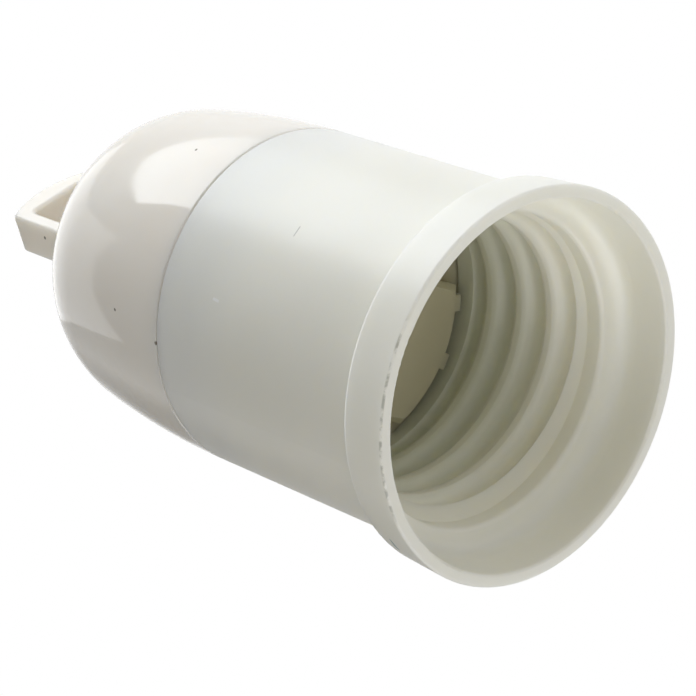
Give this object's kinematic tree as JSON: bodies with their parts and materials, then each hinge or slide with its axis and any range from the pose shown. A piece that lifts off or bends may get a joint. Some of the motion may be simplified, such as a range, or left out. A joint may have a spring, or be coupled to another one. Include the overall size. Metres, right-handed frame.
{
  "type": "lamp holder",
  "caption": "White plastic hanging lamp holder: screw socket with a flared mouth, closed by a domed screw-on cap that has a cable entry and a flat hanging loop.",
  "frame": {"origin": "centre of the rim of the mouth, in the plane that the holder stands on", "axes": "+Z along the socket axis from the mouth up to the hanging loop; +X across the flat of the loop; +Y through its eye, towards the side of the cable entry"},
  "size_m": [0.034, 0.034, 0.0662],
  "materials": {
    "body_plastic": "satin",
    "cap_plastic": "gloss",
    "carrier_plastic": "satin",
    "contact_brass": "satin",
    "terminal_brass": "satin",
    "screw_steel": "satin"
  },
  "bodies": {
    "shell": {"body_shell": "body_plastic"},
    "insert": {"contact_carrier": "carrier_plastic", "centre_terminal": "terminal_brass", "side_terminal": "terminal_brass", "terminal_screws": "screw_steel", "clamp_washers": "screw_steel", "contact_rivets": "terminal_brass"},
    "cap": {"dome_cap": "cap_plastic"},
    "centre_leaf": {"centre_contact": "contact_brass"},
    "side_leaf": {"side_contact": "contact_brass"}
  },
  "joints": [
    {"name": "cap_turn", "type": "hinge", "parent": "shell", "child": "insert", "pos_m": [0, 0, 0.0226], "axis": [0, 0, 1], "range_deg": [0, 630.1]},
    {"name": "cap_lift", "type": "slide", "parent": "insert", "child": "cap", "axis": [0, 0, 1], "range_m": [0, 0.00438]},
    {"name": "centre_press", "type": "hinge", "parent": "insert", "child": "centre_leaf", "pos_m": [0.00553, -0.00659, 0.022], "axis": [0.766, 0.6428, 0], "range_deg": [0, 4], "stiffness_Nm_per_rad": 0.2},
    {"name": "side_press", "type": "hinge", "parent": "insert", "child": "side_leaf", "pos_m": [-0.00636, 0.00758, 0.022], "axis": [0.766, 0.6428, 0], "range_deg": [0, 6], "stiffness_Nm_per_rad": 0.2}
  ],
  "couplings": [
    {"joint": "cap_turn", "follows": "cap_lift", "rad_per_m": 2513.3}
  ]
}
